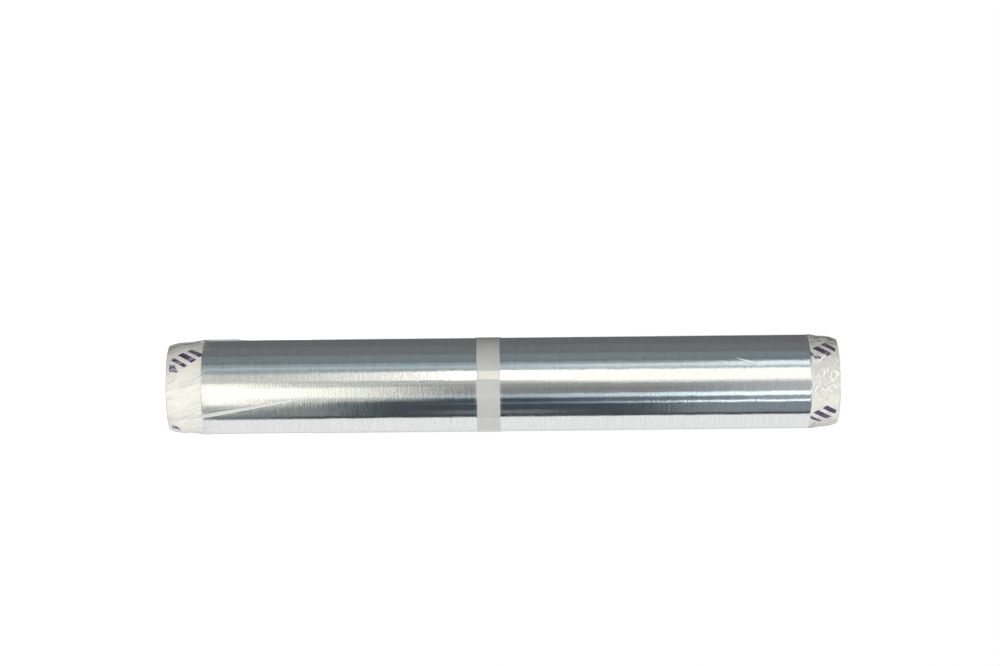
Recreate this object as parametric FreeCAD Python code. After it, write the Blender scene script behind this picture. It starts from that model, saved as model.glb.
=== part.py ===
import FreeCAD, Part
import math
import os

# Roll of kitchen foil wound on a paper core tube, held shut by a paper band and sleeved in clear
# shrink film. It stands on one end: the core's axis is +Z and the origin is the middle of the foot.
# All sizes are in millimetres.

# Paper core tube
core_length = 300.0
core_bore_diameter = 37.5
core_wall = 1.45
rim_round_across = 1.32
rim_round_along = 7.0

# Wound foil: the sheet's length and gauge set how thick the turns lie
sheet_length = 7000.0
sheet_gauge = 0.0135
bare_core_below = 15.8
bare_core_above = 12.8
free_edge_step = 0.05

# Uneven turns: each sleeve of turns starts this far in from the foil's edge, from the core outwards
turn_setback_below = (0.35, 0.10, 0.28, 0.0)
turn_setback_above = (0.15, 0.32, 0.05, 0.0)

# Paper closing band
band_width = 10.3
band_from_foil_edge = 122.5
band_paper = 0.10
band_seat_gap = 0.03

# Clear shrink film
film_wall = 0.12
film_slack = 0.06
film_ramp = 1.6
rim_bends = 4
hem_depth = 3.0
hem_slack = 0.03

# Gathers of the film where it is drawn in over each end
pleats_per_end = 12
pleat_height = 0.25
pleat_width = 0.9
pleat_rise = 1.6
pleat_swing = 8.0

# The free edge of the foil and of the band both lie on the far side
free_edge_angle = 90.0

# Radii and heights that follow from the sizes above
bore_radius = core_bore_diameter / 2.0
core_radius = bore_radius + core_wall
foil_radius = math.sqrt(core_radius ** 2 + sheet_length * sheet_gauge / math.pi)
band_inside = foil_radius + band_seat_gap
band_outside = band_inside + 2.0 * band_paper
core_foot = film_wall
core_top = core_foot + core_length
foil_foot = core_foot + bare_core_below
foil_top = core_top - bare_core_above
band_foot = foil_foot + band_from_foil_edge
band_top = band_foot + band_width

origin = FreeCAD.Vector(0, 0, 0)
up = FreeCAD.Vector(0, 0, 1)


def at(radius, height):
    """Point of a turned profile, in the plane y = 0."""
    return FreeCAD.Vector(radius, 0, height)


def line(start, end):
    """Straight edge of a profile."""
    return Part.makeLine(start, end)


def quarter(start, corner, end):
    """Quarter of an ellipse that leaves start towards corner and arrives at end from it."""
    curve = Part.BezierCurve()
    curve.setPoles([start, corner, end])
    curve.setWeight(2, math.sqrt(0.5))
    return curve.toShape()


def path(points):
    """Straight edges through a list of points."""
    return [line(a, b) for a, b in zip(points, points[1:])]


def turned(edges):
    """Solid of revolution about Z of a closed profile given as edges in order."""
    face = Part.Face(Part.Wire(edges))
    return face.revolve(origin, up, 360)


def flipped(point):
    """The same profile point seen from the other end of the roll."""
    return at(point.x, core_foot + core_top - point.z)


def coil_outline(radius, step, height):
    """Outline of a wound sheet: two half circles half a step apart, closed by the free edge."""
    low = radius - step
    start = at(radius, height)
    half_way = at(-radius, height)
    end = at(low, height)
    first = Part.Arc(start, FreeCAD.Vector(0, radius, height), half_way).toShape()
    second_middle = FreeCAD.Vector(-step / 2.0, step / 2.0 - radius, height)
    second = Part.Arc(half_way, second_middle, end).toShape()
    outline = Part.Wire([first, second, line(end, start)])
    outline.rotate(origin, up, free_edge_angle)
    return outline


def coil(radius, step, inside, foot, height):
    """A wound sheet as one solid, with a round hole and its free edge standing one step proud."""
    solid = Part.Face(coil_outline(radius, step, foot)).extrude(up * height)
    hole = Part.makeCylinder(inside, height, at(0, foot), up)
    return solid.cut(hole)


def core_tube():
    """Paper tube with a straight bore, its outer edge pressed round at both ends."""
    rim_radius = core_radius - rim_round_across
    rim_inner = at(rim_radius, core_foot)
    rim_corner = at(core_radius, core_foot)
    rim_outer = at(core_radius, core_foot + rim_round_along)
    bore_foot = at(bore_radius, core_foot)
    edges = [
        line(bore_foot, rim_inner),
        quarter(rim_inner, rim_corner, rim_outer),
        line(rim_outer, flipped(rim_outer)),
        quarter(flipped(rim_outer), flipped(rim_corner), flipped(rim_inner)),
        line(flipped(rim_inner), flipped(bore_foot)),
        line(flipped(bore_foot), bore_foot),
    ]
    return turned(edges)


def foil_roll():
    """All turns of the foil as one solid, with stepped ends and the last turn's free edge."""
    sleeves = len(turn_setback_below)
    build_up = (foil_radius - free_edge_step - core_radius) / sleeves
    below = []
    above = []
    for sleeve in range(sleeves):
        inner = core_radius + sleeve * build_up
        outer = inner + build_up
        foot = foil_foot + turn_setback_below[sleeve]
        top = foil_top - turn_setback_above[sleeve]
        below += [at(inner, foot), at(outer, foot)]
        above += [at(inner, top), at(outer, top)]
    outline = below + above[::-1]
    turns = turned(path(outline + outline[:1]))
    last_turn_inside = foil_radius - free_edge_step - build_up / 2.0
    last_turn = coil(foil_radius, free_edge_step, last_turn_inside, foil_foot, foil_top - foil_foot)
    return turns.fuse(last_turn).removeSplitter()


def closing_band():
    """Paper band round the middle of the roll, lapped and gummed on itself."""
    return coil(band_outside, band_paper, band_inside, band_foot, band_width)


def rim_turn(offset):
    """The film's bends round a rim, as flats that touch the rounding, from its foot to its side."""
    half_bend = math.radians(90.0 / rim_bends / 2.0)
    across = (rim_round_across + film_slack + offset) / math.cos(half_bend)
    along = (rim_round_along + offset) / math.cos(half_bend)
    centre = at(core_radius - rim_round_across, core_foot + rim_round_along)
    turns = [half_bend * (2 * k + 1) for k in range(rim_bends)]
    return [centre + at(across * math.sin(turn), -along * math.cos(turn)) for turn in turns]


def film_profile(offset):
    """The film's line from the hem in one end to the hem in the other, offset outwards."""
    hem = bore_radius - hem_slack - offset
    foil_side = foil_radius + film_slack + offset
    band_side = band_outside + film_slack + offset
    end = [at(hem, core_foot + hem_depth), at(hem, core_foot - offset)] + rim_turn(offset)
    middle = [
        at(foil_side, foil_foot),
        at(foil_side, band_foot - film_ramp),
        at(band_side, band_foot),
        at(band_side, band_top),
        at(foil_side, band_top + film_ramp),
        at(foil_side, foil_top),
    ]
    return end + middle + [flipped(point) for point in end[::-1]]


def pleat(bare_core, angle):
    """Narrow ridge on the lower end: it rises from the rim and dies away towards the foil's edge."""
    rim = (rim_turn(0.0)[-1] + rim_turn(film_wall)[-1]) * 0.5
    edge = at(foil_radius + film_slack + film_wall / 2.0, core_foot + bare_core)
    crest = rim + (edge - rim).normalize() * pleat_rise + at(film_wall / 2.0 + pleat_height, 0)
    turn = math.degrees(pleat_width / core_radius)
    ridge = Part.Face(Part.Wire(path([rim, crest, edge, rim]))).revolve(origin, up, turn)
    ridge.rotate(origin, up, angle)
    return ridge


def gathers(bare_core, first_angle):
    """Pleats round one end, spaced a little unevenly as drawn film gathers."""
    pitch = 360.0 / pleats_per_end
    golden = 2.4
    angles = [first_angle + pitch * k + pleat_swing * math.sin(golden * k) for k in range(pleats_per_end)]
    return [pleat(bare_core, angle) for angle in angles]


def wrap_film():
    """Shrink film drawn over the whole roll, turned over both rims and just into the bore."""
    outline = film_profile(0.0) + film_profile(film_wall)[::-1]
    skin = turned(path(outline + outline[:1]))
    upper = gathers(bare_core_above, 180.0 / pleats_per_end)
    mid_height = at(0, (core_foot + core_top) / 2.0)
    upper = [ridge.mirror(mid_height, up) for ridge in upper]
    return skin.fuse(gathers(bare_core_below, 0.0) + upper).removeSplitter()


pieces = {
    "core_tube": core_tube(),
    "foil_roll": foil_roll(),
    "closing_band": closing_band(),
    "wrap_film": wrap_film(),
}

os.makedirs("parts", exist_ok=True)
for name, shape in pieces.items():
    solid = shape.Solids[0]
    box = solid.BoundBox
    print(name, "valid", solid.isValid(), "volume", round(solid.Volume, 1),
          "z", round(box.ZMin, 3), round(box.ZMax, 3), "width", round(box.XLength, 3))
    solid.exportStep("parts/" + name + ".step")
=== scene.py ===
"""Roll of kitchen foil on a printed paper core, closed with a paper band and sleeved in clear shrink film.

The roll stands on its end, axis up. Angles round it are counted from the side that faces the camera and
grow towards the foot of the picture. Lengths are in metres unless a name says otherwise.
"""

import math

import bpy
import numpy as np
from mathutils import Matrix, Vector


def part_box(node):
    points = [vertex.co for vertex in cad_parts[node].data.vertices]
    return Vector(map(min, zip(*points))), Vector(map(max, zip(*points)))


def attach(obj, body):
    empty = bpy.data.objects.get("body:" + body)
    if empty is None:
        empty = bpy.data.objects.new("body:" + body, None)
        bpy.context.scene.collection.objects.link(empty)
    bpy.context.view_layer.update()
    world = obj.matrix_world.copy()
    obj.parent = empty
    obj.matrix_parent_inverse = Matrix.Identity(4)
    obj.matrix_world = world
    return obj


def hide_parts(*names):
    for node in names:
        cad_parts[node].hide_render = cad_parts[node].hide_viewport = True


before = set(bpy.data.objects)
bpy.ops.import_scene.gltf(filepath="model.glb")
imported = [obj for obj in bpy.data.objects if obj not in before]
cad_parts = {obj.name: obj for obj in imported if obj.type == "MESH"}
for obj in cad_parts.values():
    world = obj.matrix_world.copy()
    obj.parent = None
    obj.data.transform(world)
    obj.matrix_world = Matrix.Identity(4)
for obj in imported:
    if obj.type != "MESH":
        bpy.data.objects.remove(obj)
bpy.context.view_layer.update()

bl_info = {
    "name": "Kitchen Foil Roll",
    "version": (1, 0, 0),
    "blender": (4, 5, 0),
    "location": "View3D > Sidebar > Foil Roll",
    "description": "Builds the looks of a wrapped roll of kitchen foil round its measured frame",
    "category": "Object",
}

MM = 0.001
WHITE = (1.0, 1.0, 1.0, 1.0)


def node_size(name):
    """Foot height, top height and outside radius of a CAD node."""
    low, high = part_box(name)
    return low.z, high.z, (high.x - low.x) / 2.0


CORE_FOOT, CORE_TOP, CORE_RADIUS = node_size("core_tube")
FOIL_FOOT, FOIL_TOP, FOIL_RADIUS = node_size("foil_roll")
BAND_FOOT, BAND_TOP, BAND_RADIUS = node_size("closing_band")
FILM_FOOT = node_size("wrap_film")[0]
FILM_OFFSET = CORE_FOOT - FILM_FOOT
MIDDLE = (CORE_FOOT + CORE_TOP) / 2.0

# Steps of each piece round the roll, and the seeds of what is drawn by chance
CORE_STEPS, FOIL_STEPS, BAND_STEPS, FILM_STEPS = 192, 224, 192, 256
CORE_SEED, FOIL_SEED, BAND_SEED, FILM_SEED = 11, 27, 5, 40

# How sharply the rim's rounding bends, and how far in the outer ply reaches over it: grey board shows there
RIM_POWER = 2.2
CUT_RADIUS = CORE_RADIUS - 1.28 * MM

# The winding seam: height of one turn, and how far it climbs for each length round
SEAM_PITCH = 88.0 * MM
SEAM_SLOPE = 0.7

# Angle left open between a wound sheet's free edge and the turn it stands on
FOIL_EDGE_GAP = 0.004
BAND_EDGE_GAP = 0.006

# Four printed rows wind round the core. The first passes this angle and height, and each row's marks at
# the low end stop at the number given. Marks keep within these stretches of bare core
PRINT_START = (math.radians(-43.0), 9.3 * MM)
LAST_LOW_MARK = (9, -2, 9, 1)
PRINT_LOW = (CORE_FOOT + 1.4 * MM, FOIL_FOOT - 0.1 * MM)
PRINT_HIGH = (FOIL_TOP + 0.1 * MM, CORE_TOP - 1.4 * MM)

# The four kinds of mark in their order along a row: width, share of the full height, taper to a point.
# All lean by the same share of their height, and their two skins lie this far off the paper
MARK_KINDS = ((2.7 * MM, 1.0, 0.0), (2.4 * MM, 0.9, 0.0), (4.6 * MM, 0.95, 0.86), (1.8 * MM, 1.0, 0.0))
MARK_LEAN = 0.30
INK_SKINS = (0.022 * MM, -0.012 * MM)

# Heights over which the film eases on to the foil from below and above, and on to the band
EASE_BELOW = 8.0 * MM
EASE_ABOVE = 6.0 * MM
EASE_BAND = 0.8 * MM

# Creases drawn by chance: how many, the height that theirs are counted from and which way, heights in
# millimetres, how the lean is drawn, lengths and widths in millimetres, and shares of the full rise
CREASE_KINDS = (
    (80, CORE_FOOT, 1.0, (3.0, 15.5), ("normal", math.radians(-25.0), math.radians(12.0)),
     (5.0, 14.0), (0.55, 1.0), (0.25, 0.8)),
    (150, CORE_TOP, -1.0, (2.5, 11.5), ("uniform", -1.3, 1.3), (3.0, 7.0), (0.5, 0.8), (0.45, 1.1)),
    (16, FOIL_FOOT, 1.0, (8.0, 30.0), ("normal", math.radians(-9.0), math.radians(5.0)),
     (22.0, 50.0), (0.8, 1.3), (0.15, 0.35)),
)

# Two long creases with their own places: angle, height, lean, length, width and rise
LONG_CREASES = (
    (math.radians(20.0), 47.0 * MM, math.radians(-9.1), 66.0 * MM, 1.1 * MM, 0.08 * MM),
    (math.radians(-26.5), 259.7 * MM, math.radians(21.6), 15.0 * MM, 0.9 * MM, 0.12 * MM),
)

# Painted glints along long folds of the film, white streaks standing in for highlights: degrees round,
# height, lean in degrees, width, length and strength
LONG_FOLD_GLINTS = (
    (32.6, 24.0 * MM, 10.9, 2.2 * MM, 96.0 * MM, 0.34),
    (33.1, 26.0 * MM, 11.5, 0.7 * MM, 96.0 * MM, 0.74),
    (30.1, 26.0 * MM, 10.3, 0.6 * MM, 92.0 * MM, 0.66),
    (22.0, 34.0 * MM, 9.6, 0.4 * MM, 40.0 * MM, 0.30),
    (-26.2, 259.7 * MM, -21.4, 0.7 * MM, 15.0 * MM, 0.95),
)

# Painted glints on creased film, white slivers standing in for highlights: lean, width, length and the
# share of cells that hold one
LOW_GLINT_SLIVERS = ((math.radians(24.0), 1.1 * MM, 15.0 * MM, 0.5),
               (math.radians(17.0), 0.9 * MM, 11.0 * MM, 0.45))
HIGH_GLINT_SLIVERS = ((0.75, 0.90 * MM, 6.0 * MM, 0.36), (-0.85, 0.95 * MM, 5.5 * MM, 0.34),
                (1.35, 0.9 * MM, 5.0 * MM, 0.22))

# The tent round the roll: radius, foot, top, steps round and up, and the glow of its bare backdrop
TENT_RADIUS = 0.9
TENT_FOOT, TENT_TOP = -1.5, 1.8
TENT_STEPS, TENT_LEVELS = 960, 221
BACKDROP_GLOW = 0.83

# Light cards of the tent: from, to and edge in degrees, red, green, blue, low, high and fade in metres, and
# how fast the first edge moves on below the lean's own height. A card's missing numbers are WHOLE_CARD's
WHOLE_CARD = (-2.0, 2.0, 0.10, 0.0)
LEAN_HEIGHT = 0.10
LEAN_REACH = 0.17
TENT_CARDS = (
    (176, 200, 12, 0.145, 0.15, 0.156),
    (-190, -83, 3, 0.13, 0.134, 0.14),
    (-110, -83, 9, 0.15, 0.155, 0.162),
    (-80, -57, 3, 0.175, 0.215, 0.23),
    (-64, -60, 2, 0.155, 0.195, 0.21),
    (-54, -48, 4, 0.27, 0.34, 0.365),
    (-48, -43.5, 2, 0.4, 0.49, 0.52),
    (-42, -28, 2, 0.31, 0.365, 0.38),
    (-50, -36, 2, 0.44, 0.53, 0.56, 0.16, 2, 0.05),
    (-49, -44, 2, 0.64, 0.74, 0.77, 0.24, 2, 0.08),
    (-53, -44, 2, 0.86, 0.96, 1, 0.35, 2, 0.06),
    (-27, -9, 9, 0.59, 0.585, 0.53, -2, 0.1, 0.1),
    (-33, -13, 3, 0.9, 0.895, 0.86, 0.06, 2, 0.09),
    (-34.5, -12.5, 2, 1.18, 1.13, 1.03, 0.14, 2, 0.06),
    (-10, 22, 4, 0.275, 0.29, 0.275),
    (-9, -5, 4, 0.42, 0.45, 0.44),
    (9, 20, 5, 0.215, 0.215, 0.22, 0.12, 2, 0.1),
    (-2, 21, 6, 0.44, 0.46, 0.47, 0.37, 2, 0.09),
    (-9, -4.5, 3, 0.74, 0.77, 0.76, 0.27, 2, 0.1),
    (-14, -9.5, 2.5, 1.18, 1.13, 1.03, 0.22, 2, 0.1),
    (-33, -15, 2, 3.5, 3.35, 2.55, 0.13, 0.15, 0.005),
    (24, 32, 2, 0.31, 0.38, 0.43),
    (33, 85, 2, 0.036, 0.05, 0.062, -2, 2, 0.1, 8000),
    (67, 74, 4, 0.15, 0.175, 0.19, 0.13, 0.17, 0.04),
    (20, 86, 4, 0.53, 0.54, 0.5, -2, -0.02, 0.06),
    (-6, 34, 8, 0.59, 0.6, 0.55, -2, 0, 0.12),
    (6, 24.5, 7, 1.22, 1.21, 1.08, -2, -0.05, 0.19),
    (-3, 38, 12, 1.24, 1.23, 1.1, -2, -0.06, 0.05),
    (55, 63, 3, 0.24, 0.29, 0.31, -2, -0.085, 0.03),
    (38, 85, 3, 0.155, 0.19, 0.198, -2, -0.035, 0.095, 8000),
    (33.5, 42, 2, 0.105, 0.135, 0.155, 0.25, 2, 0.08),
    (33.5, 42, 2, 0.3, 0.345, 0.38, 0.38, 2, 0.1),
    (50, 79, 2, 0.2, 0.235, 0.26, 0.315, 2, 0.06),
    (79, 85.5, 1.5, 0.04, 0.048, 0.058, 0, 2, 0.06),
    (23.5, 31, 1.5, 0.5, 0.62, 0.7, 0.21, 2, 0.05),
    (23, 31, 1.5, 1.15, 1.3, 1.4, 0.37, 2, 0.15),
    (44.2, 47.4, 1, 0.1, 0.15, 0.19, 0.13, 2, 0.04),
    (44.2, 47.4, 1, 0.38, 0.48, 0.54, 0.25, 2, 0.07),
    (44, 47.8, 1, 1.2, 1.35, 1.45, 0.34, 2, 0.09),
)


# Sizes and colours that a user would change

def length(name, description, default):
    """Size that a user can change, in metres."""
    return bpy.props.FloatProperty(name=name, description=description, default=default, unit="LENGTH")


def colour(name, description, default):
    """Colour that a user can change."""
    return bpy.props.FloatVectorProperty(
        name=name, description=description, default=default, subtype="COLOR", size=3)


class RollSizes(bpy.types.PropertyGroup):
    """Sizes of the wrapped roll's finish."""

    core_wall: length("Core wall", "Thickness of the paper tube", 1.45 * MM)
    rim_across: length("Rim rounding across", "How far the tube's rim is pressed round, across its wall",
                       1.32 * MM)
    rim_along: length("Rim rounding along", "How far the tube's rim is pressed round, along the tube",
                      7.5 * MM)
    film_wall: length("Film thickness", "Drawn thickness of the shrink film", 0.05 * MM)
    film_slack: length("Film slack", "Gap between the film and what it wraps", 0.06 * MM)
    hem_depth: length("Hem depth", "How far the film is turned into the bore", 3.0 * MM)
    crease_height: length("Crease height", "Height of the film's sharp creases over the bare core",
                          0.28 * MM)
    foil_wave: length("Foil waviness", "Height of the soft waves in the outer turn of foil", 0.0035 * MM)
    edge_step: length("Foil edge step", "Height of the foil's free edge on the far side", 0.05 * MM)
    turn_setback: length("Turn setback", "How far single turns lie in from the foil's edge", 0.30 * MM)
    band_paper: length("Band paper", "Thickness of the closing band's paper", 0.10 * MM)
    mark_height: length("Mark height", "Height of the printed marks on the core", 7.4 * MM)
    mark_spacing: length("Mark spacing", "Distance from one printed mark to the next in its row", 4.5 * MM)
    print_slope: bpy.props.FloatProperty(
        name="Print slope",
        description="How far round the core a printed row runs for each length along it",
        default=0.784)


class RollColours(bpy.types.PropertyGroup):
    """Colours of the wrapped roll's pieces."""

    paper: colour("Core paper", "White outer ply of the core tube", (0.90, 0.89, 0.81))
    board: colour("Core board", "Grey inner plies of the core tube", (0.36, 0.33, 0.28))
    ink: colour("Print", "Purple of the printed marks", (0.040, 0.003, 0.105))
    foil: colour("Foil", "Bright rolled aluminium", (0.91, 0.92, 0.92))
    band: colour("Band", "Satin paper of the closing band", (0.545, 0.545, 0.53))
    # The film colour tints the film's mirror and is the white of its painted glints; six tenths of it is
    # the grey of its painted shade veil
    film: colour("Film", "Milky tone of the film where it is creased", (0.99, 0.99, 0.98))
    floor: colour("Floor", "Pale studio floor", (0.80, 0.80, 0.80))


# Meshes from whole arrays

def mesh_from_arrays(name, points, quads, material, uv=None):
    """Smooth shaded mesh object of quads, with its material and an optional UV pair for each corner."""
    mesh = bpy.data.meshes.new(name)
    mesh.vertices.add(len(points))
    mesh.vertices.foreach_set("co", np.ascontiguousarray(points, np.float32).ravel())
    mesh.loops.add(quads.size)
    mesh.loops.foreach_set("vertex_index", quads.astype(np.int32).ravel())
    mesh.polygons.add(len(quads))
    mesh.polygons.foreach_set("loop_start", np.arange(0, quads.size, 4, dtype=np.int32))
    mesh.polygons.foreach_set("use_smooth", np.ones(len(quads), bool))
    if uv is not None:
        layer = mesh.uv_layers.new(name="Wrap")
        layer.data.foreach_set("uv", np.ascontiguousarray(uv, np.float32).ravel())
    mesh.update(calc_edges=True)
    mesh.validate()
    mesh.materials.append(material)
    piece = bpy.data.objects.new(name, mesh)
    bpy.context.scene.collection.objects.link(piece)
    return piece


def grid_quads(rows, columns, wrap_rows=False, wrap_columns=False):
    """Corner indices of the faces of a grid of points kept row by row, joined end to end where it wraps."""
    row = np.arange(rows if wrap_rows else rows - 1)[:, None]
    column = np.arange(columns if wrap_columns else columns - 1)[None, :]
    up = (row + 1) % rows
    right = (column + 1) % columns
    corners = (row * columns + column, row * columns + right, up * columns + right, up * columns + column)
    return np.stack(corners, -1).reshape(-1, 4)


def on_roll(radius, angle, height):
    """Point at x = r sin a, y = -r cos a, z = height, with the angle a counted from the camera's side."""
    x = radius * np.sin(angle)
    y = -radius * np.cos(angle)
    return np.stack(np.broadcast_arrays(x, y, height), -1)


def ring_piece(name, radius, height, angle, material):
    """Closed ring: each column of (radius, height) is a closed section, set at its angle round the axis.

    The section runs up the outside, in over the top, down the inside and out under the foot, so that the
    faces look outwards. The UV map holds the way round and the way up, in metres.
    """
    rows, columns = radius.shape
    points = on_roll(radius, angle, height).reshape(-1, 3)
    ends = np.append(angle, angle[0, 0] + 2.0 * np.pi) * float(np.median(radius))
    left = np.broadcast_to(ends[:-1], (rows, columns))
    right = np.broadcast_to(ends[1:], (rows, columns))
    above = np.roll(height, -1, 0)
    corners = ((left, height), (right, height), (right, above), (left, above))
    uv = np.stack([np.stack(corner, -1) for corner in corners], 2)
    quads = grid_quads(rows, columns, wrap_rows=True, wrap_columns=True)
    return mesh_from_arrays(name, points, quads, material, uv)


def circle(steps, edge_gap=None):
    """Row of even angles round the roll from the far side, and one more there where a free edge stands."""
    angle = -np.pi + 2.0 * np.pi * np.arange(steps)[None, :] / steps
    return angle if edge_gap is None else np.append(angle, [[np.pi - edge_gap]], 1)


def spread(levels, steps):
    """One row of numbers made of even stretches from level to level, each in its own number of steps."""
    stretches = zip(levels, levels[1:], steps)
    parts = [np.linspace(start, end, count, endpoint=False) for start, end, count in stretches]
    return np.concatenate(parts + [levels[-1:]])


def smooth_step(low, high, value):
    """0 below low, 1 above high, and an easy S between them."""
    share = np.clip((value - low) / (high - low), 0.0, 1.0)
    return share * share * (3.0 - 2.0 * share)


def window(low, high, edge, value):
    """1 between low and high, falling to 0 over one edge width outside them."""
    return smooth_step(low - edge, low, value) * (1.0 - smooth_step(high, high + edge, value))


def waves(rng, angle, height, count, around, lengths):
    """Sum of cosine waves, its mean square one: whole turns within around, wavelengths in lengths."""
    total = np.zeros(np.broadcast(angle, height).shape)
    for _ in range(count):
        turns = rng.integers(around[0], around[1] + 1)
        pitch = rng.uniform(*lengths) * rng.choice((-1.0, 1.0))
        total += np.cos(turns * angle + 2.0 * np.pi * height / pitch + rng.uniform(0.0, 2.0 * np.pi))
    return total * math.sqrt(2.0 / count)


def ridges(angle, height, girth_radius, creases):
    """Highest of a list of straight creases on the unrolled side.

    A crease is (angle, height, lean, length, width, rise). Across its line it is rise times one less the
    distance over the width, never under 0, and along its line it fades out over the last third.
    """
    total = np.zeros(np.broadcast(angle, height).shape)
    for place, level, lean, length, width, rise in creases:
        sideways = ((angle - place + np.pi) % (2.0 * np.pi) - np.pi) * girth_radius
        upwards = height - level
        along = upwards * math.cos(lean) + sideways * math.sin(lean)
        across = sideways * math.cos(lean) - upwards * math.sin(lean)
        tent = np.clip(1.0 - np.abs(across) / width, 0.0, 1.0)
        fade = 1.0 - smooth_step(length / 3.0, length / 2.0, np.abs(along))
        total = np.maximum(total, rise * tent * fade)
    return total


# Shader nodes

class Signal:
    """Output of a node, so that sums and products of outputs are written as what they are."""

    def __init__(self, made, output=0):
        self.tree = made.id_data
        self.socket = made.outputs[output]

    def __add__(self, other):
        return maths(self.tree, "ADD", self, other)

    def __mul__(self, other):
        return maths(self.tree, "MULTIPLY", self, other)

    def __sub__(self, other):
        return maths(self.tree, "SUBTRACT", self, other)

    def __rsub__(self, other):
        return maths(self.tree, "SUBTRACT", other, self)

    def __truediv__(self, other):
        return maths(self.tree, "DIVIDE", self, other)

    __radd__ = __add__
    __rmul__ = __mul__


def feed(made, inputs):
    """Sets a node's inputs, by name or number, to plain values or links other nodes' outputs to them."""
    for key, value in inputs.items():
        if isinstance(value, Signal):
            made.id_data.links.new(value.socket, made.inputs[key])
        else:
            made.inputs[key].default_value = value
    return made


def node(tree, kind, inputs=None, **settings):
    """New node with its settings and inputs."""
    made = tree.nodes.new(kind)
    for key, value in settings.items():
        setattr(made, key, value)
    return feed(made, inputs or {})


def signal(tree, kind, output, inputs=None, **settings):
    """One output, by name or number, of a new node."""
    return Signal(node(tree, kind, inputs, **settings), output)


def maths(tree, operation, *values):
    """Result of one maths node."""
    return signal(tree, "ShaderNodeMath", 0, dict(enumerate(values)), operation=operation)


def highest(first, *others):
    """Highest of several values."""
    for other in others:
        first = maths(first.tree, "MAXIMUM", first, other)
    return first


def vector_maths(tree, operation, *values, output="Vector"):
    """Result of one vector maths node."""
    return signal(tree, "ShaderNodeVectorMath", output, dict(enumerate(values)), operation=operation)


def joined(tree, x=0.0, y=0.0, z=0.0):
    """Vector of three numbers."""
    return signal(tree, "ShaderNodeCombineXYZ", "Vector", {"X": x, "Y": y, "Z": z})


def parts_of(place):
    """The three numbers of a vector."""
    made = node(place.tree, "ShaderNodeSeparateXYZ", {"Vector": place})
    return Signal(made, "X"), Signal(made, "Y"), Signal(made, "Z")


def object_place(tree):
    """Place in the object, in metres."""
    return signal(tree, "ShaderNodeTexCoord", "Object")


def wrap_place(tree):
    """Way round and way up the roll, in metres, from a piece's own map."""
    return signal(tree, "ShaderNodeUVMap", "UV", uv_map="Wrap")


def noise(place, scale, detail, roughness=0.5):
    """Noise from 0 to 1 over a place."""
    return signal(place.tree, "ShaderNodeTexNoise", "Fac", {
        "Vector": place, "Scale": scale, "Detail": detail, "Roughness": roughness})


def step_between(value, low, high):
    """0 below low, 1 above high, smooth between."""
    return signal(value.tree, "ShaderNodeMapRange", "Result", {
        "Value": value, "From Min": low, "From Max": high}, interpolation_type="SMOOTHSTEP")


def mix_colour(factor, first, second):
    """Mix of two colours by a factor."""
    return signal(factor.tree, "ShaderNodeMix", 2, {0: factor, 6: first, 7: second}, data_type="RGBA")


def toned(tree, tint, tone):
    """A colour times a grey tone."""
    return signal(tree, "ShaderNodeVectorMath", "Vector", {0: tint, "Scale": tone}, operation="SCALE")


def bump(height, distance):
    """Normal from a height whose full range stands for a distance in metres."""
    return signal(height.tree, "ShaderNodeBump", "Normal", {"Height": height, "Distance": distance})


def cleared_tree(owner):
    """Node tree of a material or a world, with nothing in it."""
    owner.use_nodes = True
    owner.node_tree.nodes.clear()
    return owner.node_tree


def new_material(name):
    """Empty material with a Principled shader wired to its output."""
    material = bpy.data.materials.new(name)
    tree = cleared_tree(material)
    shader = node(tree, "ShaderNodeBsdfPrincipled")
    node(tree, "ShaderNodeOutputMaterial", {"Surface": Signal(shader, "BSDF")})
    return material, tree, shader


# Shader node groups

def new_group(name, inputs):
    """New shader node group, and its inputs by name. An input is a vector where its default is None."""
    group = bpy.data.node_groups.new(name, "ShaderNodeTree")
    for label, default in inputs.items():
        kind = "NodeSocketVector" if default is None else "NodeSocketFloat"
        socket = group.interface.new_socket(label, in_out="INPUT", socket_type=kind)
        if default is not None:
            socket.default_value = default
    given = group.nodes.new("NodeGroupInput")
    return group, {label: Signal(given, label) for label in inputs}


def put_out(group, outputs):
    """Gives a group its outputs, all of them numbers."""
    for label in outputs:
        group.interface.new_socket(label, in_out="OUTPUT", socket_type="NodeSocketFloat")
    feed(group.nodes.new("NodeGroupOutput"), outputs)
    return group


def paper_fibre_group(name):
    """Clouded tone round 1, and fibre height, that every paper on the roll shares."""
    group, given = new_group(name, {
        "Vector": None, "Fibre Scale": 2500.0, "Cloud Scale": 160.0, "Tone Depth": 0.05})
    fibre = noise(given["Vector"], given["Fibre Scale"], detail=4.0, roughness=0.65)
    cloud = noise(given["Vector"], given["Cloud Scale"], detail=3.0, roughness=0.55)
    swing = (fibre * 0.4 + cloud * 0.6 - 0.5) * given["Tone Depth"]
    return put_out(group, {"Tone": 1.0 + swing, "Height": fibre})


def drawn_lines_group(name):
    """Lines drawn round the roll: a height that changes fast up the roll and slowly round it."""
    group, given = new_group(name, {"Wrap": None, "Lines": 1500.0, "Stretch": 60.0, "Seed": 0.0})
    around, up, _ = parts_of(given["Wrap"])
    fine = joined(group, around * given["Stretch"], up * given["Lines"], given["Seed"])
    broad = vector_maths(group, "MULTIPLY", fine, (0.25, 0.18, 1.0))
    return put_out(group, {
        "Height": noise(fine, scale=1.0, detail=3.0, roughness=0.6),
        "Streak": noise(broad, scale=1.0, detail=2.0)})


def leaning_place(group, given, middle):
    """The wrap seen from a middle, turned by the lean and divided by the width and the length."""
    turn = joined(group, z=given["Lean"])
    size = joined(group, given["Width"], given["Length"], 1.0)
    return signal(group, "ShaderNodeMapping", "Vector", {
        "Vector": given["Wrap"], "Location": middle, "Rotation": turn, "Scale": size},
        vector_type="TEXTURE")


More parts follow.
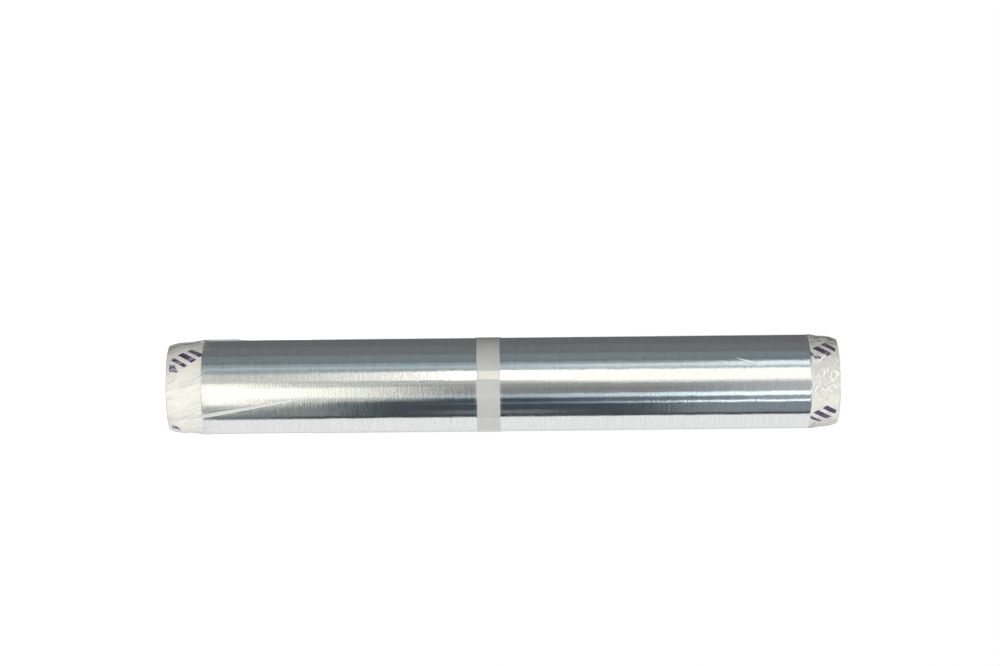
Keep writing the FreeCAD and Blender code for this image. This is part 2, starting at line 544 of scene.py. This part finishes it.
def lozenge(offset, half_width, half_length):
    """A value that grows from 0 in the middle to 1 along |x| / half_width + |y| / half_length = 1."""
    reach = vector_maths(offset.tree, "ABSOLUTE", offset)
    slope = (1.0 / half_width, 1.0 / half_length, 0.0)
    return vector_maths(offset.tree, "DOT_PRODUCT", reach, slope, output="Value")


def film_facets_group(name):
    """Flat facets of creased film: their height, a random number for each, and a lozenge in each.

    Inside a cell, the height is the offset from the cell's own point times a random slope, in metres.
    """
    group, given = new_group(name, {"Wrap": None, "Lean": 0.0, "Width": 1.0 * MM, "Length": 4.0 * MM})
    place = leaning_place(group, given, (0.0, 0.0, 0.0))
    cells = node(group, "ShaderNodeTexVoronoi", {"Vector": place, "Scale": 1.0}, voronoi_dimensions="2D")
    chance = Signal(cells, "Color")
    offset = vector_maths(group, "SUBTRACT", place, Signal(cells, "Position"))
    slope = vector_maths(group, "SUBTRACT", chance, (0.5, 0.5, 0.5))
    height = vector_maths(group, "DOT_PRODUCT", offset, slope, output="Value")
    return put_out(group, {
        "Height": height * given["Width"],
        "Chance": signal(group, "ShaderNodeSeparateColor", "Blue", {"Color": chance}),
        "Lozenge": lozenge(offset, half_width=0.4, half_length=0.5)})


def long_fold_glint_group(name):
    """Mask of the painted glint along one long thin fold: a lozenge with its own middle, lean, width and
    length.
    """
    group, given = new_group(name, {
        "Wrap": None, "Middle": None, "Lean": 0.0, "Width": 1.0 * MM, "Length": 40.0 * MM})
    place = leaning_place(group, given, given["Middle"])
    reach = lozenge(place, half_width=0.5, half_length=0.5)
    return put_out(group, {"Mask": 1.0 - step_between(reach, 0.7, 1.0)})


GROUPS = {
    "Paper Fibre": paper_fibre_group,
    "Drawn Lines": drawn_lines_group,
    "Film Facets": film_facets_group,
    "Long Fold Glint": long_fold_glint_group,
}


def place_group(tree, name, inputs):
    """Outputs by name of a shader node group, built once and placed here with its own values."""
    made = tree.nodes.new("ShaderNodeGroup")
    made.node_tree = bpy.data.node_groups.get(name) or GROUPS[name](name)
    feed(made, inputs)
    return {output.name: Signal(made, output.name) for output in made.outputs}


# Materials

def core_paper_material(colours):
    """White coated outer ply, grey board where the tube is cut and inside it, and the winding seam."""
    material, tree, shader = new_material("core_paper")
    place = object_place(tree)
    x, y, _ = parts_of(place)
    radius = vector_maths(tree, "LENGTH", joined(tree, x, y), output="Value")
    fibre = place_group(tree, "Paper Fibre", {
        "Vector": place, "Fibre Scale": 2600.0, "Cloud Scale": 150.0, "Tone Depth": 0.10})

    outer_ply = step_between(radius, CUT_RADIUS - 0.06 * MM, CUT_RADIUS)
    ply_wave = maths(tree, "SINE", radius * (2.0 * math.pi / (0.36 * MM)))
    board = toned(tree, toned(tree, (*colours.board,), 0.92 + ply_wave * 0.08), fibre["Tone"])
    paper = toned(tree, (*colours.paper,), fibre["Tone"])

    around, up, _ = parts_of(wrap_place(tree))
    turns = maths(tree, "FRACT", (up + around * SEAM_SLOPE) * (1.0 / SEAM_PITCH))
    seam = 1.0 - step_between(turns, 0.0, 0.006)
    seamed = mix_colour(seam * 0.35, paper, (*colours.board, 1.0))
    feed(shader, {
        "Base Color": mix_colour(outer_ply, board, seamed),
        "Roughness": 0.85 - outer_ply * 0.33,
        "Normal": bump(fibre["Height"] - seam * 1.5, 0.02 * MM)})
    return material


def ink_material(colours):
    """Purple print, a little thin where the paper's fibres stand up."""
    material, tree, shader = new_material("core_print")
    fibre = place_group(tree, "Paper Fibre", {
        "Vector": object_place(tree), "Fibre Scale": 3200.0, "Cloud Scale": 420.0, "Tone Depth": 0.9})
    feed(shader, {
        "Base Color": toned(tree, (*colours.ink,), fibre["Tone"]),
        "Specular IOR Level": 0.25,
        "Roughness": 0.38 + fibre["Height"] * 0.2,
        "Normal": bump(fibre["Height"], 0.01 * MM)})
    return material


def foil_material(colours):
    """Bright aluminium with the fine lines that the rolling mill leaves round the roll."""
    material, tree, shader = new_material("foil")
    lines = place_group(tree, "Drawn Lines", {
        "Wrap": wrap_place(tree), "Lines": 1000.0, "Stretch": 60.0, "Seed": 1.0})
    grain = noise(object_place(tree), scale=1250.0, detail=2.0)
    tone = 1.0 + (lines["Height"] - 0.5) * 0.22 + (grain - 0.5) * 0.32
    feed(shader, {
        "Base Color": toned(tree, (*colours.foil,), tone),
        "Metallic": 1.0,
        "Roughness": 0.05 + lines["Streak"] * 0.06,
        "Normal": bump(lines["Height"] * 0.5 + grain, 0.026 * MM)})
    return material


def band_material(colours):
    """Satin paper with faint lines along the strip."""
    material, tree, shader = new_material("band_paper")
    fibre = place_group(tree, "Paper Fibre", {
        "Vector": object_place(tree), "Fibre Scale": 3000.0, "Cloud Scale": 220.0, "Tone Depth": 0.08})
    lines = place_group(tree, "Drawn Lines", {
        "Wrap": wrap_place(tree), "Lines": 2400.0, "Stretch": 90.0, "Seed": 4.0})
    tone = fibre["Tone"] * (0.95 + lines["Streak"] * 0.10)
    feed(shader, {
        "Base Color": toned(tree, (*colours.band,), tone),
        "Roughness": 0.30 + fibre["Height"] * 0.15,
        "Normal": bump(fibre["Height"] * 0.6 + lines["Height"], 0.012 * MM)})
    return material


def film_material(colours):
    """Clear film: it mirrors by its facing, shows what it wraps, and has painted glints and painted shade.

    Metallic is the mirror's share of the mirror and the paint, that is the white glints painted along its
    creases and the grey veil of painted shade, and Alpha is both together.
    """
    material, tree, shader = new_material("film")
    wrap = wrap_place(tree)
    around, height, _ = parts_of(wrap)
    low_end = 1.0 - step_between(height, FOIL_FOOT - 2.0 * MM, FOIL_FOOT + 6.0 * MM)
    high_end = step_between(height, FOIL_TOP - 1.2 * MM, FOIL_TOP + 1.4 * MM)

    def facets(lean, width, length):
        """Facets of one lean and size on the film."""
        return place_group(tree, "Film Facets", {
            "Wrap": wrap, "Lean": lean, "Width": width, "Length": length})

    def glint_slivers(lean, width, length, share):
        """Painted glint lozenges in a share of the facets of one lean and size."""
        cells = facets(lean, width, length)
        chosen = step_between(cells["Chance"], 1.0 - share, 1.02 - share)
        return chosen * (1.0 - step_between(cells["Lozenge"], 0.70, 1.0))

    low_relief = facets(lean=math.radians(24.0), width=1.6 * MM, length=12.0 * MM)["Height"] * low_end * 0.6
    high_relief = facets(lean=0.5, width=1.7 * MM, length=3.4 * MM)["Height"] * high_end * 0.9
    normal = bump(low_relief + high_relief, 1.0)

    # Three patches round the upper end are drawn as creased, with strong painted glints and a darker
    # painted shade veil; between them the painted glints are faint
    three_patches = maths(tree, "COSINE", around * (3.0 / FOIL_RADIUS) + math.radians(28.0))
    patch = step_between(three_patches, -0.15, 0.50)
    # Painted white glints on the creased film at both ends, standing in for highlights
    low_fold_glints = highest(*[glint_slivers(*kind) for kind in LOW_GLINT_SLIVERS]) * low_end * 0.22
    high_fold_glints = highest(*[glint_slivers(*kind) for kind in HIGH_GLINT_SLIVERS]) * high_end * (0.10 + patch * 0.90)
    fold_glints = low_fold_glints + high_fold_glints
    # Painted white glints along the long folds, standing in for highlights
    for turn, level, lean, width, length, strength in LONG_FOLD_GLINTS:
        fold = place_group(tree, "Long Fold Glint", {
            "Wrap": wrap, "Middle": (math.radians(turn) * FOIL_RADIUS, level, 0.0),
            "Lean": math.radians(lean), "Width": width, "Length": length})
        fold_glints = highest(fold_glints, fold["Mask"] * strength)

    # Smooth film mirrors least when it is seen square on, and folded film a little more
    facing = signal(tree, "ShaderNodeLayerWeight", "Facing", {"Blend": 0.5, "Normal": normal})
    mirror = 0.045 + maths(tree, "POWER", facing, 5.0) * 0.8 + fold_glints * 0.10

    # Where it bridges the bare core above the foil, a grey veil of painted shade lies on it, heaviest in
    # the patches, and white is painted along its folds as glints
    bridging = step_between(height, FOIL_TOP - 0.2 * MM, FOIL_TOP + 0.6 * MM)
    shade_veil = 0.006 + bridging * (0.030 + patch * 0.060)
    whole = mirror + highest(shade_veil, fold_glints * 0.92)
    white = highest(maths(tree, "MINIMUM", 1.0, fold_glints * 2.0), 1.0 - bridging)
    grey = toned(tree, (*colours.film,), 0.60)
    feed(shader, {
        "Base Color": mix_colour(white, grey, (*colours.film, 1.0)),
        "Metallic": mirror / whole,
        "Roughness": 0.05,
        "Alpha": whole,
        "Normal": normal})
    return material


# Pieces

def pressed_rim(sizes, steps):
    """How far the tube's rim lies in from its side, and at what height above the cut edge.

    The inset is the rounding across, times one less the share of the rounding along, to the rim's power.
    The shares are the squares of even steps, so that the points stand closest at the cut edge.
    """
    share = np.linspace(0.0, 1.0, steps) ** 2
    return sizes.rim_across * (1.0 - share) ** RIM_POWER, sizes.rim_along * share


def make_core(sizes, colours):
    """Paper tube with rims pressed round and a straight bore."""
    inset, rise = pressed_rim(sizes, 16)
    radius = CORE_RADIUS - inset
    side = np.linspace(CORE_FOOT + sizes.rim_along, CORE_TOP - sizes.rim_along, 60)[1:-1]
    outside = np.concatenate([radius, np.full(len(side), CORE_RADIUS), radius[::-1]])
    heights = np.concatenate([CORE_FOOT + rise, side, CORE_TOP - rise[::-1]])
    bore = CORE_RADIUS - sizes.core_wall
    down = np.linspace(CORE_TOP, CORE_FOOT, 30)
    section_radius = np.concatenate([outside, np.full(len(down), bore)])
    section_height = np.concatenate([heights, down])
    angle = circle(CORE_STEPS)
    rng = np.random.default_rng(CORE_SEED)
    height = section_height[:, None]
    dent = waves(rng, angle, height, count=10, around=(2, 5), lengths=(0.06, 0.2)) * 0.012 * MM
    outer = (np.arange(len(section_radius)) < len(outside))[:, None]
    radius = section_radius[:, None] + dent * outer
    height = np.broadcast_to(height, radius.shape)
    tube = ring_piece("core_tube_paper", radius, height, angle, core_paper_material(colours))
    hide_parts("core_tube")
    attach(tube, "root")
    return tube


def plate_quads(rows, columns):
    """Faces of a thin plate: an upper grid, the same grid turned over under it, and a wall between them."""
    upper = grid_quads(rows, columns)
    count = rows * columns
    index = np.arange(count).reshape(rows, columns)
    edge = np.concatenate([index[0, :-1], index[:-1, -1], index[-1, :0:-1], index[:0:-1, 0]])
    following = np.roll(edge, -1)
    wall = np.stack([edge + count, following + count, following, edge], -1)
    return np.concatenate([upper, upper[:, ::-1] + count, wall])


def mark_places(sizes):
    """Angle, height and number of every printed mark on bare core, in rows wound round the tube.

    Along a row the height grows by the spacing times the cosine of the row's lean, and the way round
    falls by the spacing times its sine.
    """
    lean = math.atan(sizes.print_slope)
    count = int((CORE_TOP - CORE_FOOT) / (sizes.mark_spacing * math.cos(lean))) + 4
    number = np.arange(-2, count)
    along = sizes.mark_spacing * number
    height = PRINT_START[1] + along * math.cos(lean)
    last = np.array(LAST_LOW_MARK)[:, None]
    rows = PRINT_START[0] + 2.0 * np.pi / len(last) * np.arange(len(last))[:, None]
    angle = rows - (along * math.sin(lean) / CORE_RADIUS)[None, :]
    kept = (height > PRINT_HIGH[0]) & (height < PRINT_HIGH[1])
    kept = kept | ((height > PRINT_LOW[0]) & (height < PRINT_LOW[1]) & (number <= last))
    places = np.stack(np.broadcast_arrays(angle, height, number), -1)
    return places[kept]


def laid_marks(places, along, across, lift, sizes):
    """Points of marks given as offsets along and across their row, laid on the tube and lifted off it.

    Way round = across cos l - along sin l and way up = along cos l + across sin l, where l is the row's
    lean. The way round over the radius is added to the mark's angle.
    """
    lean = math.atan(sizes.print_slope)
    sideways = across * math.cos(lean) - along * math.sin(lean)
    upwards = along * math.cos(lean) + across * math.sin(lean)
    shape = (-1,) + (1,) * along.ndim
    angle = places[:, 0].reshape(shape) + sideways / CORE_RADIUS
    centre = places[:, 1].reshape(shape)
    height = centre + upwards
    height = np.where(centre < MIDDLE, np.clip(height, *PRINT_LOW), np.clip(height, *PRINT_HIGH))
    share = np.clip(np.minimum(height - CORE_FOOT, CORE_TOP - height) / sizes.rim_along, 0.0, 1.0)
    inset = sizes.rim_across * (1.0 - share) ** RIM_POWER
    return on_roll(CORE_RADIUS - inset + lift, angle, height)


def make_print(sizes, colours):
    """Generic marks on the bare core: leaning bars and lozenges, as plates one ink film thick.

    A bar keeps its width from foot to head and leans by a share of its height. A lozenge's width falls
    from its middle to a blunt point at both ends.
    """
    places = mark_places(sizes)
    kind = places[:, 2].astype(int) % len(MARK_KINDS)
    row, column = np.meshgrid(np.linspace(-0.5, 0.5, 5), np.linspace(-0.5, 0.5, 13), indexing="ij")
    faces = plate_quads(*row.shape)
    blocks = []
    for number, (width, rise, taper) in enumerate(MARK_KINDS):
        chosen = places[kind == number]
        across = column * sizes.mark_height * rise
        along = row * width * (1.0 - taper * np.abs(2.0 * column)) + across * MARK_LEAN
        skins = [laid_marks(chosen, along, across, lift, sizes) for lift in INK_SKINS]
        blocks.append(np.concatenate([skin.reshape(len(chosen), -1, 3) for skin in skins], 1))
    points = np.concatenate(blocks)
    quads = faces[None] + (points.shape[1] * np.arange(len(points)))[:, None, None]
    marks = mesh_from_arrays(
        "core_print", points.reshape(-1, 3), quads.reshape(-1, 4), ink_material(colours))
    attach(marks, "root")
    return marks


def make_foil(sizes, colours):
    """The wound foil: a spiral one step high, softly waved, with uneven turns at both ends.

    Radius is the foil's own for the half turn before the camera's side, and falls by the step over the
    half turn after it, so that the free edge stands on the far side.
    """
    angle = circle(FOIL_STEPS, FOIL_EDGE_GAP)
    rng = np.random.default_rng(FOIL_SEED)
    inside = CORE_RADIUS + 0.01 * MM
    build = FOIL_RADIUS - sizes.edge_step - inside
    shares = np.array([0.0, 0.18, 0.20, 0.45, 0.47, 0.72, 0.74, 0.985])
    setback = np.array([1.0, 0.9, 0.25, 0.35, 0.85, 0.70, 0.12, 0.02]) * sizes.turn_setback
    blunt_edge = 0.06 * MM
    side = np.linspace(FOIL_FOOT + blunt_edge, FOIL_TOP - blunt_edge, 400)
    below = inside + shares * build
    section_radius = np.concatenate([below, np.full(len(side), FOIL_RADIUS), below[::-1]])
    section_height = np.concatenate([FOIL_FOOT + setback, side, FOIL_TOP - setback[::-1]])
    outer = np.zeros(len(section_radius), bool)
    outer[len(shares):len(shares) + len(side)] = True

    height = section_height[:, None]
    fall = sizes.edge_step * np.clip(angle / np.pi, 0.0, 1.0)
    soft = waves(rng, angle, height, count=40, around=(6, 22), lengths=(0.006, 0.030)) * sizes.foil_wave
    tight = waves(rng, angle, height, count=24, around=(18, 40), lengths=(0.003, 0.009)) * sizes.foil_wave
    swell = soft + tight * 0.22 - fall
    radius = section_radius[:, None] + np.where(outer[:, None], swell, 0.0)
    end_wave = waves(rng, angle, height, count=12, around=(3, 17), lengths=(0.3, 0.6)) * 0.05 * MM
    ends = np.abs(np.where(outer[:, None], 0.0, end_wave))
    height = height + np.where(height < MIDDLE, ends, -ends)
    roll = ring_piece("foil_turns", radius, height, angle, foil_material(colours))
    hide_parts("foil_roll")
    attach(roll, "root")
    return roll


def make_band(sizes, colours):
    """Closing band: a paper strip wound once, with its end lapped on itself on the far side.

    Radius is the band's own for the half turn before the camera's side, and falls by one paper thickness
    over the half turn after it. Both edges of the strip are pressed a little rounder.
    """
    angle = circle(BAND_STEPS, BAND_EDGE_GAP)
    rng = np.random.default_rng(BAND_SEED)
    inner = BAND_RADIUS - 2.0 * sizes.band_paper
    levels = np.concatenate([[0.0, 0.03, 0.12], np.linspace(0.3, 10.0, 24), [10.18, 10.27, 10.3]]) * MM
    levels = levels * (BAND_TOP - BAND_FOOT) / levels[-1]
    drop = np.zeros(len(levels))
    drop[:2] = (0.06 * MM, 0.03 * MM)
    drop[-2:] = (0.03 * MM, 0.06 * MM)
    section_height = np.concatenate([BAND_FOOT + levels, [BAND_TOP, BAND_FOOT]])
    section_radius = np.concatenate([BAND_RADIUS - drop, [inner, inner]])
    outer = np.append(np.ones(len(levels)), [0.0, 0.0])[:, None]
    fall = sizes.band_paper * np.clip(angle / np.pi, 0.0, 1.0)
    height = section_height[:, None]
    cockle = waves(rng, angle, height, count=14, around=(3, 12), lengths=(0.01, 0.04)) * 0.012 * MM
    radius = section_radius[:, None] - outer * (fall + np.abs(cockle))
    height = height + waves(rng, angle, height, count=8, around=(2, 9), lengths=(0.3, 0.6)) * 0.04 * MM
    strip = ring_piece("paper_band", radius, height, angle, band_material(colours))
    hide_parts("closing_band")
    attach(strip, "root")
    return strip


def film_line(sizes):
    """The film's line from hem to hem as (radius, height), before its thickness is laid on.

    It runs down the bore, round the pressed rim, up the bare core, over the foil's edge and the band's on
    easy S curves, and back the same way at the top.
    """
    inset, rim_height = pressed_rim(sizes, 18)
    rim_radius = CORE_RADIUS - inset + sizes.film_slack
    hem_height = np.array([1.0, 0.7, 0.4, 0.15, 0.0]) * sizes.hem_depth
    hem_radius = np.full(len(hem_height), CORE_RADIUS - sizes.core_wall - 0.03 * MM)
    levels = [CORE_FOOT + sizes.rim_along, FOIL_FOOT + 1.5 * MM, FOIL_FOOT + 20.0 * MM,
              FOIL_FOOT + 60.0 * MM, BAND_FOOT - 2.0 * MM, BAND_FOOT, BAND_FOOT + 0.4 * MM,
              BAND_TOP - 0.4 * MM, BAND_TOP, BAND_TOP + 2.0 * MM, FOIL_TOP - 35.0 * MM,
              FOIL_TOP - 1.5 * MM, CORE_TOP - sizes.rim_along]
    side = spread(levels, (22, 22, 20, 8, 6, 1, 2, 1, 6, 10, 27, 16))[1:-1]
    past_foil = smooth_step(FOIL_TOP, FOIL_TOP + EASE_ABOVE, side)
    on_foil = smooth_step(FOIL_FOOT - EASE_BELOW, FOIL_FOOT, side) * (1.0 - past_foil)
    on_band = window(BAND_FOOT, BAND_TOP, EASE_BAND, side)
    rise = (FOIL_RADIUS - CORE_RADIUS) * on_foil + (BAND_RADIUS - FOIL_RADIUS) * on_band
    side_radius = CORE_RADIUS + rise + sizes.film_slack
    radius = np.concatenate([hem_radius, rim_radius, side_radius, rim_radius[::-1], hem_radius])
    height = np.concatenate([CORE_FOOT + hem_height, CORE_FOOT + rim_height, side,
                             CORE_TOP - rim_height[::-1], CORE_TOP - hem_height[::-1]])
    return radius, height


def film_creases(rng, sizes):
    """Creases of the film as (angle, height, lean, length, width, rise): drawn ones, then the long ones."""
    creases = []
    for count, start, way, heights, (draw, *lean), lengths, widths, rises in CREASE_KINDS:
        for _ in range(count):
            creases.append((
                rng.uniform(-np.pi, np.pi), start + way * rng.uniform(*heights) * MM,
                getattr(rng, draw)(*lean), rng.uniform(*lengths) * MM,
                rng.uniform(*widths) * MM, sizes.crease_height * rng.uniform(*rises)))
    return creases + list(LONG_CREASES)


def make_film(sizes, colours):
    """Shrink film: a thin closed skin along the film's line, creased where it bridges bare core.

    Its line is pushed out along its own normal by the creases, the gathers round each rim and one loose
    fold beside the lower foil edge.
    """
    radius, height = film_line(sizes)
    angle = circle(FILM_STEPS)
    run = np.gradient(radius), np.gradient(height)
    size = np.hypot(*run)
    out_radius = (run[1] / size)[:, None]
    out_height = (-run[0] / size)[:, None]
    radius = radius[:, None]
    height = height[:, None]
    rng = np.random.default_rng(FILM_SEED)

    push = ridges(angle, height, CORE_RADIUS, film_creases(rng, sizes))
    reach = 7.0 * MM
    lower = 1.0 - smooth_step(CORE_FOOT, CORE_FOOT + reach, height)
    upper = smooth_step(CORE_TOP - reach, CORE_TOP, height)
    for end in (lower, upper):
        gathers = np.abs(waves(rng, angle, 0.0, count=9, around=(14, 34), lengths=(1.0, 2.0)))
        push = push + 0.10 * MM * end * gathers
    loose = np.exp(-((angle + math.radians(91.0)) / math.radians(11.0)) ** 2)
    loose = loose * window(FOIL_FOOT + 2.0 * MM, FOIL_FOOT + 13.0 * MM, reach, height)
    slack = waves(rng, angle, height, count=16, around=(3, 9), lengths=(0.02, 0.09))
    push = push + 0.5 * MM * loose + 0.02 * MM * np.abs(slack)
    push = push * smooth_step(CORE_RADIUS - sizes.rim_across, CORE_RADIUS, radius)

    outer, inner = [], []
    for skin, offset in ((outer, FILM_OFFSET), (inner, FILM_OFFSET - sizes.film_wall)):
        lowest = FILM_FOOT + FILM_OFFSET - offset
        skin += [radius + out_radius * (offset + push),
                 np.clip(height + out_height * (offset + push), lowest, None)]
    film_radius, film_height = [np.concatenate([out, within[::-1]]) for out, within in zip(outer, inner)]
    film = ring_piece("shrink_film", film_radius, film_height, angle, film_material(colours))
    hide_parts("wrap_film")
    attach(film, "root")
    return film


# Stage

def seen_directly(tree):
    """1 for rays from the camera and for those that a mirror or clear film sends on, 0 for the rest."""
    path = node(tree, "ShaderNodeLightPath")
    kinds = ("Is Camera Ray", "Is Glossy Ray", "Is Transmission Ray")
    return highest(*[Signal(path, kind) for kind in kinds])


def make_floor(colours):
    """Plain round floor, a disc of rings: white where it is lit, pale grey as a reflector."""
    rings, steps = 10, 64
    reach, pole = 0.9, 1e-5
    ring = np.linspace(0.0, reach, rings)[:, None] + pole
    turn = 2.0 * np.pi * np.arange(steps)[None, :] / steps
    material = bpy.data.materials.new("studio_floor")
    tree = cleared_tree(material)
    plain = signal(tree, "ShaderNodeBsdfDiffuse", 0, {"Color": (*colours.floor, 1.0)})
    dim = signal(tree, "ShaderNodeBsdfDiffuse", 0, {"Color": (0.45, 0.45, 0.45, 1.0)})
    glow = signal(tree, "ShaderNodeEmission", 0, {"Color": WHITE, "Strength": 0.80})
    shown = signal(tree, "ShaderNodeAddShader", 0, {0: dim, 1: glow})
    mixed = signal(tree, "ShaderNodeMixShader", 0, {0: seen_directly(tree), 1: plain, 2: shown})
    node(tree, "ShaderNodeOutputMaterial", {"Surface": mixed})
    points = on_roll(ring, turn, 0.0).reshape(-1, 3)
    quads = grid_quads(rings, steps, wrap_columns=True)[:, ::-1]
    floor = mesh_from_arrays("studio_floor", points, quads, material)
    floor.visible_glossy = False
    return floor


def tent_glow(angle, height):
    """Light of the studio tent: cards laid over a white backdrop, each with soft edges.

    A card covers what is behind it by the product of two soft windows, one over the angle and one over
    the height. Its first edge moves on by its lean times the cube of the distance below the lean's height.
    """
    glow = np.full(np.broadcast(angle, height).shape + (3,), BACKDROP_GLOW)
    for card in TENT_CARDS:
        start, end, edge, red, green, blue, low, high, fade, lean = card + WHOLE_CARD[len(card) - 6:]
        first = start + lean * np.clip(LEAN_HEIGHT - height, 0.0, LEAN_REACH) ** 3
        cover = (window(first, end, edge, angle) * window(low, high, fade, height))[..., None]
        glow = glow * (1.0 - cover) + np.array([red, green, blue]) * cover
    return glow


def make_tent():
    """Cylinder of soft light cards round the roll that only mirrors can see."""
    material = bpy.data.materials.new("studio_tent")
    tree = cleared_tree(material)
    material.cycles.emission_sampling = "NONE"
    tint = signal(tree, "ShaderNodeAttribute", "Color", attribute_name="glow")
    light = signal(tree, "ShaderNodeEmission", 0, {"Color": tint, "Strength": 1.0})
    node(tree, "ShaderNodeOutputMaterial", {"Surface": light})

    angle = np.linspace(-np.pi, np.pi, TENT_STEPS + 1)[None, :-1]
    height = np.linspace(TENT_FOOT, TENT_TOP, TENT_LEVELS)[:, None]
    points = on_roll(TENT_RADIUS, angle, height).reshape(-1, 3)
    quads = grid_quads(TENT_LEVELS, TENT_STEPS, wrap_columns=True)[:, ::-1]
    tent = mesh_from_arrays("studio_tent", points, quads, material)
    glow = tent_glow(np.degrees(angle), height).reshape(-1, 3)
    layer = tent.data.color_attributes.new("glow", "FLOAT_COLOR", "POINT")
    layer.data.foreach_set("color", np.column_stack([glow, np.ones(len(glow))]).astype(np.float32).ravel())
    for kind in ("camera", "diffuse", "transmission", "volume_scatter", "shadow"):
        setattr(tent, "visible_" + kind, False)
    return tent


def make_world():
    """White backdrop for the camera and for mirrors, and a plain soft light for everything else."""
    world = bpy.data.worlds.new("studio_world")
    bpy.context.scene.world = world
    tree = cleared_tree(world)
    white = signal(tree, "ShaderNodeBackground", 0, {"Color": WHITE, "Strength": 1.0})
    soft = signal(tree, "ShaderNodeBackground", 0, {"Color": WHITE, "Strength": 0.50})
    mixed = signal(tree, "ShaderNodeMixShader", 0, {0: seen_directly(tree), 1: soft, 2: white})
    node(tree, "ShaderNodeOutputWorld", {"Surface": mixed})


def make_lamp(name, angle, height, distance, size, watts):
    """Square soft lamp at an angle round the roll, aimed at the roll's middle and unseen by mirrors."""
    light = bpy.data.lights.new(name, "AREA")
    light.shape = "SQUARE"
    light.size = size
    light.energy = watts
    lamp = bpy.data.objects.new(name, light)
    bpy.context.scene.collection.objects.link(lamp)
    turn = math.radians(angle)
    place = Vector((distance * math.sin(turn), -distance * math.cos(turn), height))
    aim = Vector((0.0, 0.0, MIDDLE)) - place
    lamp.matrix_world = Matrix.Translation(place) @ aim.to_track_quat("-Z", "Y").to_matrix().to_4x4()
    lamp.visible_glossy = False
    lamp.visible_camera = False
    return lamp


def make_camera():
    """Camera square to the roll, on its side, so that the roll's top points right.

    The middle of the roll stands at the photograph's own place for it, given in pixels from the middle of
    the 1000 by 666 frame, and the roll rises by a small tilt towards the right.
    """
    distance = 1.2
    pixel = 0.4517 * MM
    tilt = math.radians(0.60)
    right_of_middle = 3.0 * pixel
    below_middle = 51.4 * pixel
    north = Vector((-1.0, 0.0, 0.0))
    axis = Vector((0.0, 0.0, 1.0))
    right = math.cos(tilt) * axis - math.sin(tilt) * north
    up = math.sin(tilt) * axis + math.cos(tilt) * north
    back = Vector((0.0, -1.0, 0.0))
    data = bpy.data.cameras.new("camera")
    data.sensor_width = 36.0
    data.lens = 36.0 * distance / (1000.0 * pixel)
    data.clip_start = 0.01
    data.clip_end = 20.0
    camera = bpy.data.objects.new("camera", data)
    bpy.context.scene.collection.objects.link(camera)
    place = Vector((0.0, 0.0, MIDDLE)) + back * distance - right * right_of_middle + up * below_middle
    turn = Matrix((right, up, back)).transposed().to_4x4()
    camera.matrix_world = Matrix.Translation(place) @ turn
    bpy.context.scene.camera = camera


# Operators, one for each piece and one for the stage

class FOILROLL_OT_core(bpy.types.Operator):
    """Make the paper core tube"""
    bl_idname = "foilroll.core"
    bl_label = "Core Tube"

    def execute(self, context):
        make_core(context.scene.roll_sizes, context.scene.roll_colours)
        return {"FINISHED"}


class FOILROLL_OT_print(bpy.types.Operator):
    """Make the printed marks on the core"""
    bl_idname = "foilroll.print"
    bl_label = "Core Print"

    def execute(self, context):
        make_print(context.scene.roll_sizes, context.scene.roll_colours)
        return {"FINISHED"}


class FOILROLL_OT_foil(bpy.types.Operator):
    """Make the wound foil"""
    bl_idname = "foilroll.foil"
    bl_label = "Foil"

    def execute(self, context):
        make_foil(context.scene.roll_sizes, context.scene.roll_colours)
        return {"FINISHED"}


class FOILROLL_OT_band(bpy.types.Operator):
    """Make the paper closing band"""
    bl_idname = "foilroll.band"
    bl_label = "Closing Band"

    def execute(self, context):
        make_band(context.scene.roll_sizes, context.scene.roll_colours)
        return {"FINISHED"}


class FOILROLL_OT_film(bpy.types.Operator):
    """Make the clear shrink film"""
    bl_idname = "foilroll.film"
    bl_label = "Shrink Film"

    def execute(self, context):
        make_film(context.scene.roll_sizes, context.scene.roll_colours)
        return {"FINISHED"}


class FOILROLL_OT_stage(bpy.types.Operator):
    """Make the floor, the light and the camera"""
    bl_idname = "foilroll.stage"
    bl_label = "Stage"

    def execute(self, context):
        make_floor(context.scene.roll_colours)
        make_tent()
        make_world()
        make_lamp("key_lamp", angle=17.0, height=0.40, distance=1.6, size=0.9, watts=18.0)
        make_lamp("back_lamp", angle=170.0, height=0.55, distance=1.6, size=0.9, watts=12.0)
        make_camera()
        context.scene.view_settings.view_transform = "Standard"
        return {"FINISHED"}


OPERATORS = (FOILROLL_OT_core, FOILROLL_OT_print, FOILROLL_OT_foil, FOILROLL_OT_band, FOILROLL_OT_film,
             FOILROLL_OT_stage)


class FOILROLL_PT_panel(bpy.types.Panel):
    """Lists the roll's pieces and their sizes and colours."""
    bl_idname = "FOILROLL_PT_panel"
    bl_label = "Foil Roll"
    bl_space_type = "VIEW_3D"
    bl_region_type = "UI"
    bl_category = "Foil Roll"

    def draw(self, context):
        column = self.layout.column()
        for operator in OPERATORS:
            column.operator(operator.bl_idname)
        for settings in (context.scene.roll_sizes, context.scene.roll_colours):
            for name in settings.bl_rna.properties.keys():
                if name not in ("rna_type", "name"):
                    column.prop(settings, name)


CLASSES = (RollSizes, RollColours) + OPERATORS + (FOILROLL_PT_panel,)


def register():
    for kind in CLASSES:
        bpy.utils.register_class(kind)
    bpy.types.Scene.roll_sizes = bpy.props.PointerProperty(type=RollSizes)
    bpy.types.Scene.roll_colours = bpy.props.PointerProperty(type=RollColours)


def unregister():
    del bpy.types.Scene.roll_colours
    del bpy.types.Scene.roll_sizes
    for kind in reversed(CLASSES):
        bpy.utils.unregister_class(kind)


def main():
    """Makes every piece and the stage."""
    register()
    bpy.ops.foilroll.core()
    bpy.ops.foilroll.print()
    bpy.ops.foilroll.foil()
    bpy.ops.foilroll.band()
    bpy.ops.foilroll.film()
    bpy.ops.foilroll.stage()


if __name__ == "__main__":
    main()
